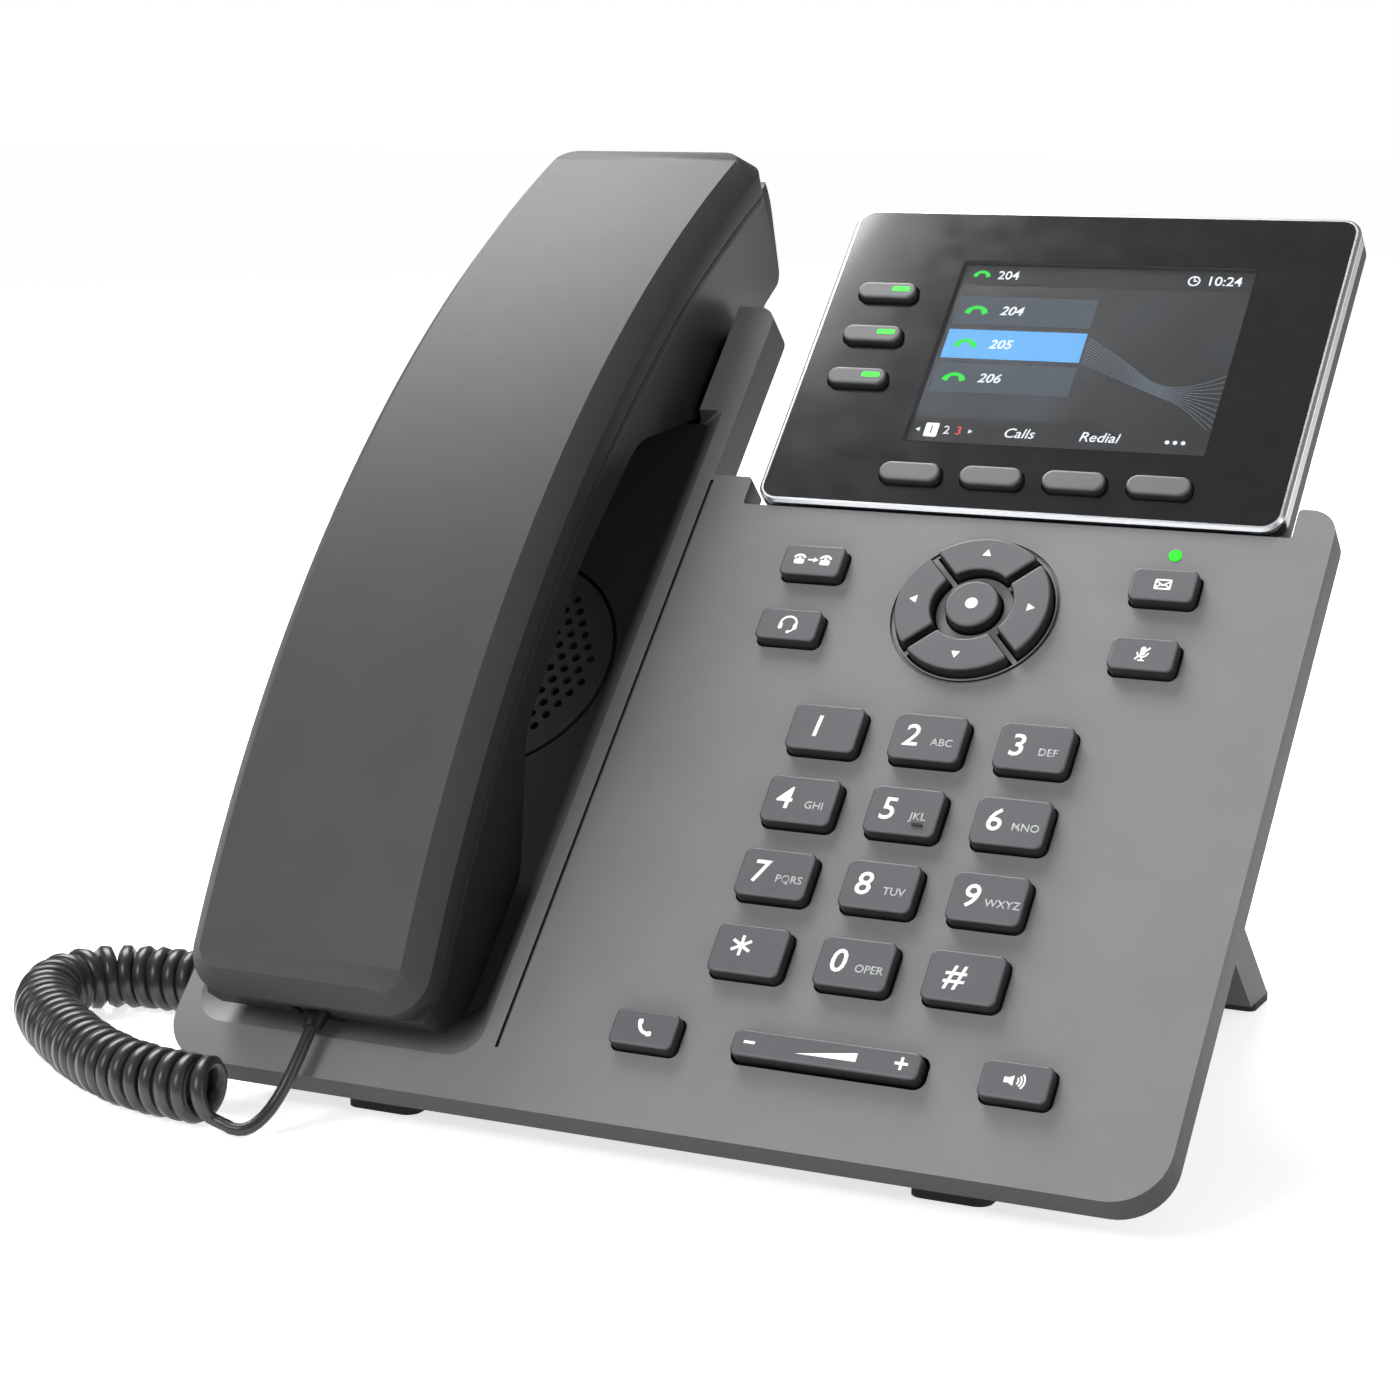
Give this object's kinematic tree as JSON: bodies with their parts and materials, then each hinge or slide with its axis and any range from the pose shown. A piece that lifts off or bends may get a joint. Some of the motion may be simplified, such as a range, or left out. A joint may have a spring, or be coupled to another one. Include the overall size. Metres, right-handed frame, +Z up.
{
  "type": "desk telephone",
  "caption": "Desk telephone with a colour display above a tilted key deck, a corded handset in a cradle at its left and a clip-on stand.",
  "frame": {"origin": "on the desk, under the middle of the telephone's bounding box without its cord", "axes": "+Z up, +Y away from the user towards the stand, +X to the user's right along the key deck's front edge"},
  "size_m": [0.2374, 0.1631, 0.1639],
  "materials": {
    "deck_plastic": "fine texture",
    "key_plastic": "satin",
    "black_plastic": "fine texture",
    "handset_plastic": "satin",
    "gloss_black": "glossy",
    "silver_trim": "satin",
    "display_glass": "glossy",
    "circuit_board": "satin",
    "silicone": "matte",
    "foot_rubber": "matte",
    "steel": "plain",
    "jack_plastic": "plain",
    "cord_jacket": "satin",
    "lens_green": "clear"
  },
  "bodies": {
    "base": {"audio_jacks": "jack_plastic", "case_screws": "steel", "cord_base_lead": "cord_jacket", "cord_base_plug": "jack_plastic", "cord_coil": "cord_jacket", "cord_handset_lead": "cord_jacket", "display_bezel": "gloss_black", "display_board": "circuit_board", "display_rear_cover": "black_plastic", "display_trim": "silver_trim", "faceplate": "deck_plastic", "hook_microswitch": "jack_plastic", "key_mat": "silicone", "lcd_module": "display_glass", "loudspeaker": "jack_plastic", "main_board": "circuit_board", "message_lens": "lens_green", "network_jacks": "jack_plastic", "power_jack": "jack_plastic", "rear_shell": "black_plastic", "rubber_feet": "foot_rubber", "speaker_grille": "black_plastic", "stand": "black_plastic"},
    "handset": {"handset_back_shell": "handset_plastic", "handset_front_shell": "handset_plastic", "handset_microphone": "steel", "handset_plug": "jack_plastic", "handset_receiver": "jack_plastic"},
    "hook_plunger": {"hook_plunger": "black_plastic"},
    "key_1": {"key_1": "key_plastic"},
    "key_2": {"key_2": "key_plastic"},
    "key_3": {"key_3": "key_plastic"},
    "key_4": {"key_4": "key_plastic"},
    "key_5": {"key_5": "key_plastic"},
    "key_6": {"key_6": "key_plastic"},
    "key_7": {"key_7": "key_plastic"},
    "key_8": {"key_8": "key_plastic"},
    "key_9": {"key_9": "key_plastic"},
    "key_star": {"key_star": "key_plastic"},
    "key_0": {"key_0": "key_plastic"},
    "key_hash": {"key_hash": "key_plastic"},
    "transfer_key": {"transfer_key": "key_plastic"},
    "headset_key": {"headset_key": "key_plastic"},
    "message_key": {"message_key": "key_plastic"},
    "mute_key": {"mute_key": "key_plastic"},
    "send_key": {"send_key": "key_plastic"},
    "speaker_key": {"speaker_key": "key_plastic"},
    "nav_up": {"nav_up": "key_plastic"},
    "nav_down": {"nav_down": "key_plastic"},
    "nav_left": {"nav_left": "key_plastic"},
    "nav_right": {"nav_right": "key_plastic"},
    "ok_button": {"ok_button": "key_plastic"},
    "line_key_1": {"line_key_1": "key_plastic"},
    "line_key_2": {"line_key_2": "key_plastic"},
    "line_key_3": {"line_key_3": "key_plastic"},
    "soft_key_1": {"soft_key_1": "key_plastic"},
    "soft_key_2": {"soft_key_2": "key_plastic"},
    "soft_key_3": {"soft_key_3": "key_plastic"},
    "soft_key_4": {"soft_key_4": "key_plastic"},
    "volume_rocker": {"volume_rocker": "key_plastic"}
  },
  "joints": [
    {"name": "handset_lift", "type": "slide", "parent": "base", "child": "handset", "axis": [0, -0.715, 0.6992], "range_m": [0, 0.08]},
    {"name": "hook_plunger_rise", "type": "slide", "parent": "base", "child": "hook_plunger", "axis": [0, -0.715, 0.6992], "range_m": [0, 0.003]},
    {"name": "key_1_press", "type": "slide", "parent": "base", "child": "key_1", "axis": [0, 0.715, -0.6992], "range_m": [0, 0.0012], "stiffness_N_per_m": 600, "springref_m": -0.0005},
    {"name": "key_2_press", "type": "slide", "parent": "base", "child": "key_2", "axis": [0, 0.715, -0.6992], "range_m": [0, 0.0012], "stiffness_N_per_m": 600, "springref_m": -0.0005},
    {"name": "key_3_press", "type": "slide", "parent": "base", "child": "key_3", "axis": [0, 0.715, -0.6992], "range_m": [0, 0.0012], "stiffness_N_per_m": 600, "springref_m": -0.0005},
    {"name": "key_4_press", "type": "slide", "parent": "base", "child": "key_4", "axis": [0, 0.715, -0.6992], "range_m": [0, 0.0012], "stiffness_N_per_m": 600, "springref_m": -0.0005},
    {"name": "key_5_press", "type": "slide", "parent": "base", "child": "key_5", "axis": [0, 0.715, -0.6992], "range_m": [0, 0.0012], "stiffness_N_per_m": 600, "springref_m": -0.0005},
    {"name": "key_6_press", "type": "slide", "parent": "base", "child": "key_6", "axis": [0, 0.715, -0.6992], "range_m": [0, 0.0012], "stiffness_N_per_m": 600, "springref_m": -0.0005},
    {"name": "key_7_press", "type": "slide", "parent": "base", "child": "key_7", "axis": [0, 0.715, -0.6992], "range_m": [0, 0.0012], "stiffness_N_per_m": 600, "springref_m": -0.0005},
    {"name": "key_8_press", "type": "slide", "parent": "base", "child": "key_8", "axis": [0, 0.715, -0.6992], "range_m": [0, 0.0012], "stiffness_N_per_m": 600, "springref_m": -0.0005},
    {"name": "key_9_press", "type": "slide", "parent": "base", "child": "key_9", "axis": [0, 0.715, -0.6992], "range_m": [0, 0.0012], "stiffness_N_per_m": 600, "springref_m": -0.0005},
    {"name": "key_star_press", "type": "slide", "parent": "base", "child": "key_star", "axis": [0, 0.715, -0.6992], "range_m": [0, 0.0012], "stiffness_N_per_m": 600, "springref_m": -0.0005},
    {"name": "key_0_press", "type": "slide", "parent": "base", "child": "key_0", "axis": [0, 0.715, -0.6992], "range_m": [0, 0.0012], "stiffness_N_per_m": 600, "springref_m": -0.0005},
    {"name": "key_hash_press", "type": "slide", "parent": "base", "child": "key_hash", "axis": [0, 0.715, -0.6992], "range_m": [0, 0.0012], "stiffness_N_per_m": 600, "springref_m": -0.0005},
    {"name": "transfer_key_press", "type": "slide", "parent": "base", "child": "transfer_key", "axis": [0, 0.715, -0.6992], "range_m": [0, 0.0012], "stiffness_N_per_m": 600, "springref_m": -0.0005},
    {"name": "headset_key_press", "type": "slide", "parent": "base", "child": "headset_key", "axis": [0, 0.715, -0.6992], "range_m": [0, 0.0012], "stiffness_N_per_m": 600, "springref_m": -0.0005},
    {"name": "message_key_press", "type": "slide", "parent": "base", "child": "message_key", "axis": [0, 0.715, -0.6992], "range_m": [0, 0.0012], "stiffness_N_per_m": 600, "springref_m": -0.0005},
    {"name": "mute_key_press", "type": "slide", "parent": "base", "child": "mute_key", "axis": [0, 0.715, -0.6992], "range_m": [0, 0.0012], "stiffness_N_per_m": 600, "springref_m": -0.0005},
    {"name": "send_key_press", "type": "slide", "parent": "base", "child": "send_key", "axis": [0, 0.715, -0.6992], "range_m": [0, 0.0012], "stiffness_N_per_m": 600, "springref_m": -0.0005},
    {"name": "speaker_key_press", "type": "slide", "parent": "base", "child": "speaker_key", "axis": [0, 0.715, -0.6992], "range_m": [0, 0.0012], "stiffness_N_per_m": 600, "springref_m": -0.0005},
    {"name": "nav_up_press", "type": "slide", "parent": "base", "child": "nav_up", "axis": [0, 0.715, -0.6992], "range_m": [0, 0.0012], "stiffness_N_per_m": 600, "springref_m": -0.0005},
    {"name": "nav_down_press", "type": "slide", "parent": "base", "child": "nav_down", "axis": [0, 0.715, -0.6992], "range_m": [0, 0.0012], "stiffness_N_per_m": 600, "springref_m": -0.0005},
    {"name": "nav_left_press", "type": "slide", "parent": "base", "child": "nav_left", "axis": [0, 0.715, -0.6992], "range_m": [0, 0.0012], "stiffness_N_per_m": 600, "springref_m": -0.0005},
    {"name": "nav_right_press", "type": "slide", "parent": "base", "child": "nav_right", "axis": [0, 0.715, -0.6992], "range_m": [0, 0.0012], "stiffness_N_per_m": 600, "springref_m": -0.0005},
    {"name": "ok_button_press", "type": "slide", "parent": "base", "child": "ok_button", "axis": [0, 0.715, -0.6992], "range_m": [0, 0.0012], "stiffness_N_per_m": 600, "springref_m": -0.0005},
    {"name": "line_key_1_press", "type": "slide", "parent": "base", "child": "line_key_1", "axis": [0, 0.715, -0.6992], "range_m": [0, 0.0008], "stiffness_N_per_m": 600, "springref_m": -0.0005},
    {"name": "line_key_2_press", "type": "slide", "parent": "base", "child": "line_key_2", "axis": [0, 0.715, -0.6992], "range_m": [0, 0.0008], "stiffness_N_per_m": 600, "springref_m": -0.0005},
    {"name": "line_key_3_press", "type": "slide", "parent": "base", "child": "line_key_3", "axis": [0, 0.715, -0.6992], "range_m": [0, 0.0008], "stiffness_N_per_m": 600, "springref_m": -0.0005},
    {"name": "soft_key_1_press", "type": "slide", "parent": "base", "child": "soft_key_1", "axis": [0, 0.715, -0.6992], "range_m": [0, 0.0008], "stiffness_N_per_m": 600, "springref_m": -0.0005},
    {"name": "soft_key_2_press", "type": "slide", "parent": "base", "child": "soft_key_2", "axis": [0, 0.715, -0.6992], "range_m": [0, 0.0008], "stiffness_N_per_m": 600, "springref_m": -0.0005},
    {"name": "soft_key_3_press", "type": "slide", "parent": "base", "child": "soft_key_3", "axis": [0, 0.715, -0.6992], "range_m": [0, 0.0008], "stiffness_N_per_m": 600, "springref_m": -0.0005},
    {"name": "soft_key_4_press", "type": "slide", "parent": "base", "child": "soft_key_4", "axis": [0, 0.715, -0.6992], "range_m": [0, 0.0008], "stiffness_N_per_m": 600, "springref_m": -0.0005},
    {"name": "volume_rocker_tilt", "type": "hinge", "parent": "base", "child": "volume_rocker", "pos_m": [0.0322, -0.05668, 0.01835], "axis": [0, 0.6992, 0.715], "range_deg": [-3.5, 3.5], "stiffness_Nm_per_rad": 0.08}
  ],
  "couplings": [
    {"joint": "hook_plunger_rise", "follows": "handset_lift", "ratio": 0.0375}
  ]
}
